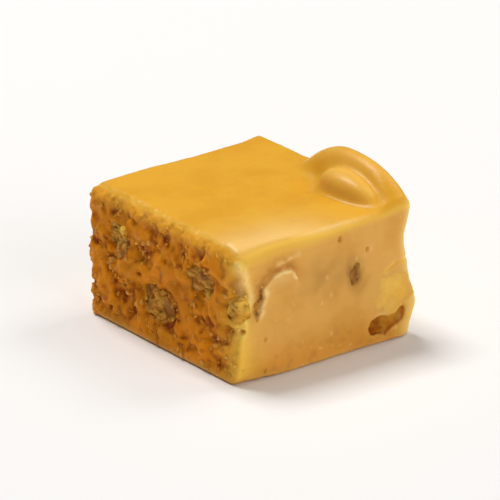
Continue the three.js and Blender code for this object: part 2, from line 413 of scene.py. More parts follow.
def cut_relief(p):
    """Faint drag of the knife, small smears and a fine grain."""
    drag = 0.035 * grain(p, 1.1, stretch=(1, 1, 4)) + 0.05 * grain(p, 2.8)
    return drag + 0.015 * grain(p, 0.5)


def torn_patches(p):
    """1 where the torn side is crumbly, 0 where it broke off clean."""
    return ramp(grain(p, 4.6) + 0.5 * grain(p, 1.7), -0.3, 0.2)


def torn_relief(p):
    fade = ramp(p[:, 2], 0.2, 2.2) * (1 - 0.6 * ramp(p[:, 2], HEIGHT - 3, HEIGHT - 0.5))
    crumbly = torn_patches(p)
    ledges = 0.3 * grain(p, 3.4) + 0.18 * np.abs(grain(p + 7, 2.2))
    rough = crumbly * (0.85 * broken_grain(p, 2.1) - 0.15)
    crumbs = (0.12 + 0.13 * crumbly) * (broken_grain(p + 4, 0.9) - 0.4)
    return fade * (ledges + rough + crumbs)


def skin_relief(p):
    return 0.06 * grain(p, 4.5) + 0.012 * grain(p, 1.3)


def within(p, shape, margin):
    """Marks the points in a box round a lump."""
    reach = 1.4 * shape["radii"].max() + margin
    close = np.abs(p[:, 0] - shape["at"][0]) < reach
    for axis in (1, 2):
        close &= np.abs(p[:, axis] - shape["at"][axis]) < reach
    return close


def nut_distance(p):
    """Distance from the nearest walnut chunk, kept under 9 mm."""
    nearest = np.full(len(p), 9.0)
    for shape in WALNUTS.values():
        close = within(p, shape, 3)
        nearest[close] = np.minimum(nearest[close], lump_field(p[close], shape))
    return nearest


def relief(p, walls):
    """Depth, in mm, that the fine relief takes off the block's surface."""
    shares = face_shares(walls)
    depth = np.zeros(len(p))
    rules = {"front": front_relief, "left": torn_relief, "top": skin_relief}
    for face, rule in rules.items():
        here = shares[face] > 0
        depth[here] += shares[face][here] * rule(p[here])
    cut = shares["front"] + shares["right"] + shares["back"]
    here = cut > 0
    depth[here] += cut[here] * cut_relief(p[here])
    crisp = 0.15 * shares["front"] + 0.5 * (shares["right"] + shares["back"]) + 0.9 * shares["left"]
    near_nut = crisp * np.exp(-np.maximum(nut_distance(p), 0) / 0.5)
    near_chip = (cut + shares["left"]) * np.exp(-np.abs(chip_field(p)) / 0.65)
    ragged = np.clip(np.maximum(near_nut, near_chip), 0, 1)
    here = ragged > 0.05
    depth[here] += ragged[here] * (0.5 * broken_grain(p[here], 1.0) - 0.1)
    roll = hill(walls["left"] - walls["top"], 1.6) * ramp(p[:, 2], HEIGHT - 5, HEIGHT - 2)
    here = roll > 0.05
    depth[here] += roll[here] * (0.4 * broken_grain(p[here], 1.3) - 0.12)
    return depth


# Where crumbs fell out: the face, how many, how wide the face is, and the pits' radius.
DROPPED_CRUMBS = [(on_left, 6, DEPTH, 0.8), (on_right, 3, DEPTH, 0.5), (on_back, 3, WIDTH, 0.5)]


def crumb_pits():
    """Small pits that crumbs left behind, spread evenly by golden steps."""
    pits = []
    for place, count, reach, size in DROPPED_CRUMBS:
        for _ in range(count):
            step = len(pits) + 1
            along = 0.14 + 0.72 * (0.618 * step % 1)
            level = 4 + (HEIGHT - 9) * (0.755 * step % 1)
            radius = size * (0.7 + 0.6 * (0.57 * step % 1))
            radii = (radius, radius, 0.8 * radius)
            pits.append(lump(place(reach * along, level, 0), radii, 20 + step, roughness=0.3))
    return pits


SMALL_PITS = [
    lump(on_front(18.3, 17.7, 0), (0.42, 0.5, 0.5), 8, roughness=0.4),
    lump(on_front(5.3, 6, 0), (0.3, 0.35, 0.35), 3),
    lump(on_front(1.6, 8, 0.3), (0.5, 0.5, 0.35), 6),
    lump(on_front(23.2, 15.1, 0), (0.25, 0.3, 0.25), 2),
    lump(on_front(13.1, 9.4, 0), (0.2, 0.25, 0.5), 4),
]
PITS = [*SMALL_PITS, *crumb_pits()]


def carve(field, p, shape, edge, inset=0.0, crumbly=0.0, ragged=0.0):
    """Cuts a lump out of a field, with a rounded rim and crumbly or ragged walls."""
    close = within(p, shape, 1)
    q = p[close]
    inside = lump_field(q, shape) + inset
    if crumbly:
        inside -= crumbly * (broken_grain(q, 0.8) - 0.4)
    if ragged:
        inside += ragged * (0.8 * grain(q, 1.7) + 0.35 * grain(q + 5, 0.8))
    field[close] = rounded_meet(field[close], -inside, edge)


def chipped_block(p):
    walls = wall_distances(p)
    field = block_field(p, walls)
    near = np.abs(field) < RELIEF_BAND
    field[near] += relief(p[near], {face: walls[face][near] for face in FACES})
    return field


def crumbled_chip(p):
    """The broken hollow at the upright corner, deeper between its crumbs."""
    return chip_field(p) - 0.5 * broken_grain(p, 1.5) + 0.2


def fudge_field(p):
    field = chipped_block(p)
    close = within(p, CHIPPED_CORNER[0], 1)
    field[close] = rounded_meet(field[close], -crumbled_chip(p[close]), 0.3)
    for shape in CRESCENT:
        carve(field, p, shape, 0.3, crumbly=0.6)
    for shape in PITS:
        carve(field, p, shape, 0.12, ragged=0.2)
    for node, shape in WALNUTS.items():
        cover = fudge_cover(node)
        carve(field, p, shape, 0.05, inset=cover, ragged=0 if cover == BOND else 0.5 * cover)
    return field


def fudge_cover(node):
    """How far the fudge reaches over the rim of a walnut chunk."""
    if node in IN_TORN_FUDGE:
        return BOND
    return SMEAR_SHARE * WALNUTS[node]["radii"].min()


def wrinkles(p):
    """Folds of a walnut kernel: 1 in its creases, 0 on the ridges between them."""
    bent = stirred(p, 0.6, 1.5)
    wide = 1 - ramp(np.abs(grain(bent, 2.1)), 0, 0.24)
    narrow = 1 - ramp(np.abs(grain(bent + 3, 1.1)), 0, 0.26)
    return np.maximum(wide, 0.6 * narrow)


def kernel_field(p, shape):
    """A walnut chunk with its wrinkles, before the knife."""
    kernel = lump_field(p, shape)
    near = np.abs(kernel) < 1
    kernel[near] += 0.3 * wrinkles(p[near])
    return kernel


def nut_field(p, node):
    """A walnut chunk cut off level with the block: its rim dips under cut fudge, and in
    torn fudge its folds show."""
    kernel = kernel_field(p, WALNUTS[node])
    level = np.full(len(p), -9.0)
    near = kernel < 0.6
    q = p[near]
    level[near] = block_field(q, wall_distances(q)) + 0.07 * grain(q, 1.8)
    if node in IN_TORN_FUDGE:
        level[near] += 0.1 + 0.35 * wrinkles(q) + 0.3 * broken_grain(q, 0.8)
    else:
        peeled = FINISHES.get(node, CUT_FINISH)[2]
        inward = ramp(-kernel[near] / fudge_cover(node), 0.1, 0.9)
        level[near] += 0.03 - 0.08 * inward + 0.16 * peeled * wrinkles(q)
    return rounded_meet(kernel, level, 0.1)


# ---------------------------------------------------------------- from fields to meshes


def sample_grid(field, low, high, step):
    counts = np.ceil((np.array(high) - low) / step).astype(int) + 1
    axes = [low[axis] + step * np.arange(counts[axis]) for axis in range(3)]
    points = np.stack(np.meshgrid(*axes, indexing="ij"), axis=-1).reshape(-1, 3)
    return field(points).reshape(counts)


def net_points(values, cells, low, step):
    """One point in each cell that the surface crosses, at the mean of its crossings."""
    total = np.zeros((len(cells), 3))
    hits = np.zeros(len(cells))
    for axis in range(3):
        for du, dv in np.ndindex(2, 2):
            start = cells.copy()
            start[:, (axis + 1) % 3] += du
            start[:, (axis + 2) % 3] += dv
            end = start.copy()
            end[:, axis] += 1
            a, b = values[tuple(start.T)], values[tuple(end.T)]
            crossed = (a < 0) != (b < 0)
            share = a[crossed] / (a[crossed] - b[crossed])
            crossing = start[crossed].astype(float)
            crossing[:, axis] += share
            total[crossed] += crossing
            hits[crossed] += 1
    return low + step * total / hits[:, None]


def net_faces(inside, ids):
    """A quad round each grid edge that the surface crosses."""
    faces = []
    for axis in range(3):
        u, v = (axis + 1) % 3, (axis + 2) % 3
        near = np.take(inside, range(inside.shape[axis] - 1), axis)
        far = np.take(inside, range(1, inside.shape[axis]), axis)
        for leaving in (True, False):
            edges = np.argwhere(near & ~far if leaving else far & ~near)
            corners = []
            for du, dv in ((-1, -1), (0, -1), (0, 0), (-1, 0)):
                cell = edges.copy()
                cell[:, u] += du
                cell[:, v] += dv
                corners.append(ids[tuple(cell.T)])
            quads = np.stack(corners, axis=1)
            faces.append(quads if leaving else quads[:, ::-1])
    return np.concatenate(faces)


def settle(points, field, rounds=2, reach=0.12):
    """Moves points onto the field's zero level, along its slope."""
    for _ in range(rounds):
        value = field(points)
        slope = np.empty_like(points)
        for axis in range(3):
            offset = np.zeros(3)
            offset[axis] = 0.04
            slope[:, axis] = (field(points + offset) - field(points - offset)) / 0.08
        size = np.maximum(np.sum(np.square(slope), axis=1), 0.2)
        move = -slope * (value / size)[:, None]
        points = points + np.clip(move, -reach, reach)
    return points


def field_mesh(name, field, low, high, step):
    """A closed mesh of quads on the zero level of a field, in metres."""
    low = np.array(low, float)
    values = sample_grid(field, low, high, step)
    inside = values < 0
    count = np.zeros(np.array(inside.shape) - 1, int)
    for x, y, z in np.ndindex(2, 2, 2):
        count += inside[x:, y:, z:][: count.shape[0], : count.shape[1], : count.shape[2]]
    mixed = (count > 0) & (count < 8)
    ids = np.full(mixed.shape, -1)
    ids[mixed] = np.arange(mixed.sum())
    points = net_points(values, np.argwhere(mixed), low, step)
    points = settle(points, field)
    mesh = bpy.data.meshes.new(name)
    mesh.from_pydata((points * MM).tolist(), [], net_faces(inside, ids).tolist())
    mesh.shade_smooth()
    mesh.validate()
    return mesh, points


def add_piece(name, mesh, slot, *replaced):
    piece = bpy.data.objects.new(name, mesh)
    bpy.context.scene.collection.objects.link(piece)
    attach(piece, "root")
    if replaced:
        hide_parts(*replaced)
    return piece


def paint(mesh, name, values):
    """Stores one number per point for the materials to read."""
    layer = mesh.attributes.new(name, "FLOAT", "POINT")
    layer.data.foreach_set("value", np.asarray(values, np.float32))


# ---------------------------------------------------------------- materials


def colour(red, green, blue):
    """A screen colour, 0 to 255, as the shader's linear colour."""
    parts = [c / 255 for c in (red, green, blue)]
    linear = [c / 12.92 if c < 0.04045 else ((c + 0.055) / 1.055) ** 2.4 for c in parts]
    return (*linear, 1.0)


class Nodes:
    """Adds nodes to a tree and links their inputs by name or place."""

    def __init__(self, tree):
        self.tree = tree

    def add(self, kind, inputs=None, **settings):
        node = self.tree.nodes.new(kind)
        for key, value in settings.items():
            setattr(node, key, value)
        for key, value in (inputs or {}).items():
            socket = node.inputs[key]
            if isinstance(value, bpy.types.NodeSocket):
                self.tree.links.new(value, socket)
            else:
                socket.default_value = value
        return node

    def mix(self, share, a, b):
        inputs = {0: share, 6: a, 7: b}
        return self.add("ShaderNodeMix", inputs, data_type="RGBA").outputs[2]

    def maths(self, operation, *values):
        inputs = dict(enumerate(values))
        return self.add("ShaderNodeMath", inputs, operation=operation).outputs[0]

    def spread(self, value, low, high, to_low=0.0, to_high=1.0):
        names = ("Value", "From Min", "From Max", "To Min", "To Max")
        inputs = dict(zip(names, (value, low, high, to_low, to_high)))
        return self.add("ShaderNodeMapRange", inputs, interpolation_type="SMOOTHSTEP").outputs[0]

    def painted(self, name):
        node = self.add("ShaderNodeAttribute", attribute_name=name, attribute_type="GEOMETRY")
        return node.outputs["Fac"]

    def noise(self, vector, scale, detail=3.0, roughness=0.55):
        inputs = {"Vector": vector, "Scale": scale, "Detail": detail, "Roughness": roughness}
        return self.add("ShaderNodeTexNoise", inputs).outputs["Fac"]


def new_group(name, inputs, outputs):
    """A shader group with named sockets: (name, kind, default)."""
    tree = bpy.data.node_groups.new(name, "ShaderNodeTree")
    for label, kind, default in inputs:
        socket = tree.interface.new_socket(label, in_out="INPUT", socket_type=kind)
        if default is not None:
            socket.default_value = default
    for label, kind in outputs:
        tree.interface.new_socket(label, in_out="OUTPUT", socket_type=kind)
    nodes = Nodes(tree)
    return tree, nodes, nodes.add("NodeGroupInput"), nodes.add("NodeGroupOutput")


def sugar_mottle():
    """Cloudy patches and small pale crystals over a base colour."""
    tree, nodes, given, result = new_group(
        "sugar_mottle",
        [
            ("Colour", "NodeSocketColor", None),
            ("Cloud", "NodeSocketColor", None),
            ("Fleck", "NodeSocketColor", None),
            ("Cloud Share", "NodeSocketFloat", 0.5),
            ("Fleck Share", "NodeSocketFloat", 0.3),
        ],
        [("Colour", "NodeSocketColor")],
    )
    place = nodes.add("ShaderNodeTexCoord").outputs["Object"]
    clouds = nodes.spread(nodes.noise(place, 160.0, 4.0), 0.4, 0.66)
    share = nodes.maths("MULTIPLY", clouds, given.outputs["Cloud Share"])
    cloudy = nodes.mix(share, given.outputs["Colour"], given.outputs["Cloud"])
    flecks = nodes.spread(nodes.noise(place, 1300.0, 2.0), 0.64, 0.76)
    share = nodes.maths("MULTIPLY", flecks, given.outputs["Fleck Share"])
    flecked = nodes.mix(share, cloudy, given.outputs["Fleck"])
    nodes.tree.links.new(flecked, result.inputs["Colour"])
    return tree


def fine_grain():
    """Height of a fine waxy grain, in metres."""
    tree, nodes, given, result = new_group(
        "fine_grain",
        [("Coarse", "NodeSocketFloat", 1.0), ("Fine", "NodeSocketFloat", 1.0)],
        [("Height", "NodeSocketFloat")],
    )
    place = nodes.add("ShaderNodeTexCoord").outputs["Object"]
    coarse = nodes.maths("MULTIPLY", nodes.noise(place, 900.0, 4.0), given.outputs["Coarse"])
    fine = nodes.maths("MULTIPLY", nodes.noise(place, 3600.0, 3.0), given.outputs["Fine"])
    nodes.tree.links.new(nodes.maths("ADD", coarse, fine), result.inputs["Height"])
    return tree


MOTTLE = sugar_mottle()
GRAIN = fine_grain()


def new_material(name, roughness, subsurface, radius, specular=0.5):
    material = bpy.data.materials.new(name)
    material.use_nodes = True
    shader = material.node_tree.nodes["Principled BSDF"]
    shader.inputs["Roughness"].default_value = roughness
    shader.inputs["Subsurface Weight"].default_value = subsurface
    shader.inputs["Subsurface Radius"].default_value = (1.0, 0.45, 0.14)
    shader.inputs["Subsurface Scale"].default_value = radius
    shader.inputs["Specular IOR Level"].default_value = specular
    return material, Nodes(material.node_tree), shader


def give_bump(nodes, shader, height, distance):
    inputs = {"Height": height, "Strength": 1.0, "Distance": distance}
    bump = nodes.add("ShaderNodeBump", inputs)
    nodes.tree.links.new(bump.outputs["Normal"], shader.inputs["Normal"])


# Colours of the fudge. The pale sugar colour is also the colour of painted highlights, the edge
# glow is painted glow, the deep torn colour is also painted shade in pits, and the hollow amber is
# painted shade in hollows.
CUT_TAN = colour(230, 172, 84)
CUT_CLOUD = colour(216, 155, 64)
SKIN_GOLD = colour(228, 168, 42)
SKIN_CLOUD = colour(214, 148, 26)
PALE_SUGAR_AND_HIGHLIGHT = colour(252, 214, 142)
EDGE_GLOW = colour(253, 204, 78)
TORN_AMBER = colour(232, 142, 10)
TORN_DARK_AND_SHADE = colour(146, 60, 0)
TORN_OLIVE = colour(192, 126, 10)
HOLLOW_SHADE_AMBER = colour(142, 58, 0)
NUT_STAIN = colour(126, 80, 28)


def fudge_material():
    material, nodes, shader = new_material("fudge_waxy", 0.42, 0.22, 0.0022, specular=0.14)
    cut = mottled(nodes, CUT_TAN, CUT_CLOUD, PALE_SUGAR_AND_HIGHLIGHT, 0.6, 0.25)
    skin = mottled(nodes, SKIN_GOLD, SKIN_CLOUD, PALE_SUGAR_AND_HIGHLIGHT, 0.45, 0.03)
    torn = mottled(nodes, TORN_AMBER, TORN_OLIVE, PALE_SUGAR_AND_HIGHLIGHT, 0.45, 0.5)
    # Painted shade: pits are mixed towards the deep torn colour, which also gives random dark tone.
    torn = nodes.mix(nodes.painted("dark_tone_and_shade"), torn, TORN_DARK_AND_SHADE)
    # The torn mask also carries painted shade in recesses and hollows.
    tone = nodes.mix(nodes.painted("torn"), cut, torn)
    # Painted glow along edges and at the crescent's lit end.
    tone = nodes.mix(nodes.painted("glow"), tone, EDGE_GLOW)
    tone = nodes.mix(nodes.painted("skin"), tone, skin)
    tone = nodes.mix(nodes.painted("stain"), tone, NUT_STAIN)
    # Painted highlights and sheen, and pale sugar specks.
    tone = nodes.mix(nodes.painted("highlight_and_specks"), tone, PALE_SUGAR_AND_HIGHLIGHT)
    # Painted shade in the hollows.
    tone = nodes.mix(nodes.painted("hollow"), tone, HOLLOW_SHADE_AMBER)
    nodes.tree.links.new(tone, shader.inputs["Base Color"])
    rough = nodes.spread(nodes.painted("skin"), 0.0, 1.0, 0.5, 0.36)
    rough = nodes.maths("MULTIPLY_ADD", nodes.painted("torn"), 0.15, rough)
    rough = nodes.maths("MULTIPLY_ADD", nodes.painted("hollow"), 0.25, rough)
    nodes.tree.links.new(rough, shader.inputs["Roughness"])
    gloss = nodes.maths("MULTIPLY", nodes.painted("skin"), 0.15)
    nodes.tree.links.new(gloss, shader.inputs["Coat Weight"])
    shader.inputs["Coat Roughness"].default_value = 0.34
    height = nodes.add("ShaderNodeGroup", node_tree=GRAIN)
    height.inputs["Coarse"].default_value = 0.6
    height.inputs["Fine"].default_value = 0.35
    give_bump(nodes, shader, height.outputs["Height"], 0.00006)
    return material


def mottled(nodes, base, cloud, fleck, cloud_share, fleck_share):
    group = nodes.add("ShaderNodeGroup", node_tree=MOTTLE)
    values = (base, cloud, fleck, cloud_share, fleck_share)
    for socket, value in zip(group.inputs, values):
        socket.default_value = value
    return group.outputs["Colour"]


KERNEL_PALE = colour(253, 204, 84)
KERNEL_OLIVE = colour(232, 166, 42)
KERNEL_CREAM = colour(253, 220, 140)
DUSKY_NUT = colour(176, 104, 20)
NUT_SKIN = colour(158, 98, 34)
NUT_SKIN_DARK = colour(116, 68, 22)


def nut_material(name, flesh, cloud, skin_colour):
    material, nodes, shader = new_material(name, 0.6, 0.12, 0.001, specular=0.18)
    fresh = mottled(nodes, flesh, cloud, KERNEL_CREAM, 0.5, 0.3)
    tone = nodes.mix(nodes.painted("ripe"), fresh, cloud)
    tone = nodes.mix(nodes.painted("dusky"), tone, DUSKY_NUT)
    tone = nodes.mix(nodes.painted("rind"), tone, skin_colour)
    smeared = mottled(nodes, CUT_TAN, CUT_CLOUD, PALE_SUGAR_AND_HIGHLIGHT, 0.6, 0.25)
    tone = nodes.mix(nodes.painted("smear"), tone, smeared)
    nodes.tree.links.new(tone, shader.inputs["Base Color"])
    height = nodes.add("ShaderNodeGroup", node_tree=GRAIN)
    give_bump(nodes, shader, height.outputs["Height"], 0.00012)
    return material


# ---------------------------------------------------------------- the pieces


def spot(u, v, at, reach):
    """1 at a place on a face, fading over its reach both ways."""
    return hill(np.hypot((u - at[0]) / reach[0], (v - at[1]) / reach[1]), 1)


def front_stain(p, u, v):
    """The dark smudge on the front face, in the pinkish cloud round it."""
    lean = 0.3 * (v - 12)
    cloud = spot(u, v, (16.5, 13), (5.5, 3))
    haze = spot(u + lean, v, (20.8, 12), (1.9, 2.7))
    core = spot(u + lean, v, (20.9, 11.8), (1.1, 2))
    smudge = 0.45 * haze * (1 + 0.7 * grain(p, 1.3)) + 0.3 * core * (1 + 0.9 * grain(p + 3, 0.9))
    return np.maximum(0.28 * cloud * (1 + 0.6 * grain(p, 2.1)), smudge)


def paint_fudge(mesh, p):
    """Stores where the block is skin, torn, stained or crumbly, and its painted glow, painted
    highlights with pale specks, and painted shade in pits and hollows.
    """
    walls = wall_distances(p)
    shares = face_shares(walls)
    plain = block_field(p, walls)
    u, v = p[:, 0] - LEFT, p[:, 2]
    mouth = np.minimum(*(lump_field(p, shape) for shape in CRESCENT))
    cave = ramp(mouth, 1.2, 0.6) * ramp(-walls["front"], 0.2, 1.2)
    side = np.maximum(1 - shares["base"], cave)
    front = shares["front"]
    band = 3.4 - 1.9 * ramp(u, 4, 26)
    skin = ramp(walls["top"], -0.9, -0.1) * ramp(v, HEIGHT - 3, HEIGHT - 2)
    chip = ramp(chip_field(p), 0.5, -0.3)
    torn = np.maximum(shares["left"], chip)

    scar = scar_marks(p)
    ends = ramp(u, 12.8, 9.6) * ramp(v, 8.6, 10.4)
    recess = front * ends * ramp(scar, -0.1, 0.4) * np.exp(-np.maximum(scar, 0) / 2.6)
    crust = front * ends * hill(scar - 0.3, 0.35) * ramp(v, 14.4, 12.8)
    fold, _ = path_offset(u, v + 0.2 * grain(p, 1.1), FOLD)
    flap = spot(u, v, (8.3, 14.4), (2.2, 1.1)) * ramp(scar, 0, -0.3)
    broken = ramp(grain(p + 6, 1.2), -0.5, 0.2)
    # Painted highlights: a pale lip along the scar and along the fold, and a paler flap.
    lip = ends * hill(scar + 0.25, 0.35) * (0.4 + 0.6 * broken) + 0.5 * hill(fold, 0.4) * broken

    nut = nut_distance(p)
    fringe = np.exp(-np.maximum(nut, 0) / 0.45) * side
    stain = front * front_stain(p, u, v)
    stain = np.maximum(stain, crust * ramp(grain(p, 0.8), -0.3, 0.1))
    stain = np.maximum(stain, 0.25 * fringe * shares["left"] * ramp(grain(p, 2.2), -0.3, 0.6))

    free = ramp(nut, 0.15, 0.5)
    near_front = ramp(p[:, 1], FRONT + 5, FRONT + 3)
    # Painted light: the crescent's right end is painted lit, with a glow and less shade.
    lit_side = ramp(u + 0.3 * (3 - v) + 0.6 * grain(p, 0.9), 25.8, 28.4) * near_front
    patchy = np.clip(0.75 + 0.9 * grain(p, 0.7), 0.2, 1)
    # Painted shade: the further a point lies below the block's plain surface, and inside the
    # crescent's cave, the more it is painted in the hollows' dark amber, with random patches and
    # less at the crescent's lit end.
    sunk = np.maximum(ramp(-plain, 0.2, 1.2) * side * (1 - chip), cave)
    hollow = sunk * free * (1 - 0.9 * lit_side) * patchy * (1 - 0.5 * cave)
    # Painted shade in pits: the deeper below the plain surface, the more of the deep torn colour;
    # random dark tone is added on top.
    dark_tone_and_shade = free * ramp(-plain, 0.05, 0.75) * (1 - 0.8 * cave)
    dark_tone_and_shade = dark_tone_and_shade + 0.5 * ramp(grain(p, 1.1), 0.1, 0.6)
    # Painted highlights on the crescent's upper lip, the chip's rim and the top's front edge; the
    # sheen is a painted sheen over the front of the top.
    upper = ramp(v - 3.6 - 0.8 * (u - 27.8), 0, 1) * ramp(u, 24.2, 25.4)
    rim = hill(chip_field(p) - 0.4, 0.5) * front
    edge = hill(walls["top"] + 0.15, 0.4) * hill(walls["front"] + 0.3, 0.8) * ramp(u, 27, 14)
    sheen = 0.6 * hill(p[:, 1] - FRONT, 6.5) * ramp(u, 24, 8) * ramp(walls["top"], -0.6, -0.1)
    low = ramp(v, 9, 6)
    # Painted light along the right edge beside the crescent, wider low down; it goes into both the
    # highlight and the glow.
    right_rim_light = hill(walls["right"] + 0.3, 0.9 + 0.6 * low) * hill(walls["front"] + 0.2, 1.2)
    painted_highlight = np.maximum(np.maximum(0.35 * flap, lip), 0.45 * right_rim_light)
    painted_highlight = np.maximum(painted_highlight, 0.45 * upper * hill(mouth - 0.25, 0.3))
    painted_highlight = np.maximum(front * painted_highlight, rim * (0.2 + 0.5 * broken * ramp(v, 10, 12)))
    # Painted highlight: lighter high on the ridge and round the lobe's outline.
    crest = 0.12 * ramp(v, HEIGHT + 1.5, HEIGHT + 4) + 0.12 * hill(coated_lobe(p), 0.3) * skin
    # Painted glow along the upright front-left corner, wider low down, weaker on the torn side.
    upright_glow = hill(p[:, 0] - LEFT, 2.4 + 0.8 * ramp(v, 9, 2)) * hill(p[:, 1] - FRONT, 2.6)
    upright_glow *= 0.95 - 0.25 * shares["left"]
    crack, _ = path_offset(u + 0.2 * grain(p, 0.8), v, CRACK)
    # Painted glow: a golden band under the top edge, partly the poured skin's own colour, with the
    # upright corner, the chip's rim, the crescent's lit end and the right edge painted to glow;
    # also a golden streak along the crack.
    glow = ramp(1 + walls["top"] / band, 0, 0.85) * (1 - 0.6 * np.maximum(recess, shares["left"]))
    glow = np.maximum(glow, upright_glow) + 0.6 * rim + 0.5 * lit_side * sunk
    glow = glow + (0.5 + 0.4 * low) * right_rim_light
    glow = glow + 0.7 * front * hill(crack, 0.35) * ramp(grain(p, 1.5), -0.5, 0.2)
    # The front face is painted more amber towards its base.
    foot = 0.45 * front * ramp(v, 7, 1)
    paint(mesh, "skin", skin * (1 - shares["left"] * 0.4))
    dulled = (0.2 + 0.4 * ramp(v, 9, 13)) * chip
    paint(mesh, "glow", side * np.clip(glow, 0, 1) * (1 - dulled))
    # The torn mask is torn fudge plus painted shade: the flake's recess and the sunken hollows are
    # painted amber too, as is the base of the front face.
    torn_and_shade = np.maximum(np.maximum(torn, 0.35 * recess), np.maximum(foot, 0.9 * sunk))
    paint(mesh, "torn", torn_and_shade * side)
    paint(mesh, "dark_tone_and_shade", np.clip(dark_tone_and_shade, 0, 1))
    paint(mesh, "stain", np.clip(stain, 0, 1))
    # Painted highlights and sheen, plus the real pale sugar specks.
    highlight_and_specks = np.maximum(np.maximum(painted_highlight, 0.9 * edge), np.maximum(crest, sheen))
    specks = sum(spot(u, v, at, (0.22, 0.32)) for at in SPECKS)
    paint(mesh, "highlight_and_specks", np.clip(np.maximum(highlight_and_specks, 0.4 * front * specks), 0, 1))
    # hollow holds painted shade in the hollows.
    paint(mesh, "hollow", np.clip(hollow, 0, 1))
    heel = front * spot(u, v, (2.5, 0.6), (3.6, 1.4))
    loose = np.maximum(0.22 * torn * torn_patches(p), np.maximum(0.8 * crust, 0.2 * heel))
    crumbs = loose + fringe * 0.12 * shares["left"] + 0.2 * rim
    low_edge = ramp(v, 0.3, 1.0) * (1 - ramp(v, HEIGHT - 2, HEIGHT - 1))
    paint(mesh, "crumb", np.clip(crumbs, 0, 1) * low_edge * (1 - 0.8 * hollow))


def build_fudge(material):
    low = (LEFT - 1.2, FRONT - 1.2, -0.8)
    high = (RIGHT + 2.6, BACK + 1.4, HEIGHT + 6.8)
    mesh, points = field_mesh("fudge_block", fudge_field, low, high, FUDGE_STEP)
    paint_fudge(mesh, points)
    mesh.materials.append(material)
    return add_piece("fudge_block", mesh, "fudge", "fudge")


def build_nut(node, materials):
    shape = WALNUTS[node]
    reach = 1.35 * shape["radii"].max() + 0.5
    low = shape["at"] - reach
    high = shape["at"] + reach
    name = node.replace("walnut", "nut")
    mesh, points = field_mesh(name, lambda p: nut_field(p, node), low, high, NUT_STEP)
    slot = "walnut_skin" if node in IN_THEIR_SKIN else "walnut"
    torn = node in IN_TORN_FUDGE
    smeared, dusky, peeled = FINISHES.get(node, TORN_FINISH if torn else CUT_FINISH)
    creases = wrinkles(points)
    cover = -lump_field(points, shape) / fudge_cover(node)
    rim = hill(cover - 1.4 + 0.5 * grain(points, 1.2), 0.45)
    patch = ramp(grain(points + 4, 2.4), -0.2, 0.3)
    peel = np.maximum(0.9 * rim * (0.4 + 0.6 * patch), 0.8 * creases)
    if torn:
        peel = 0.9 * patch
    if node in IN_THEIR_SKIN:
        peel = 0.6 + 0.4 * patch
    dusk = np.maximum(0.45 + 0.4 * creases, ramp(grain(points + 2, 1.4), -0.2, 0.6))
    smear = 1 - 0.75 * ramp(cover + 0.5 * grain(points + 6, 1.5), 0.7, 1.9)
    paint(mesh, "rind", peeled * peel)
    ripe = ramp(grain(points + 8, 3.2) + 0.4 * grain(points, 0.9), 0.0, 0.7)
    paint(mesh, "ripe", ripe if torn else 0.4 * ripe)
    paint(mesh, "dusky", dusky * dusk)
    paint(mesh, "smear", smeared * smear)
    mesh.materials.append(materials[slot])
    return add_piece(name, mesh, slot, node)


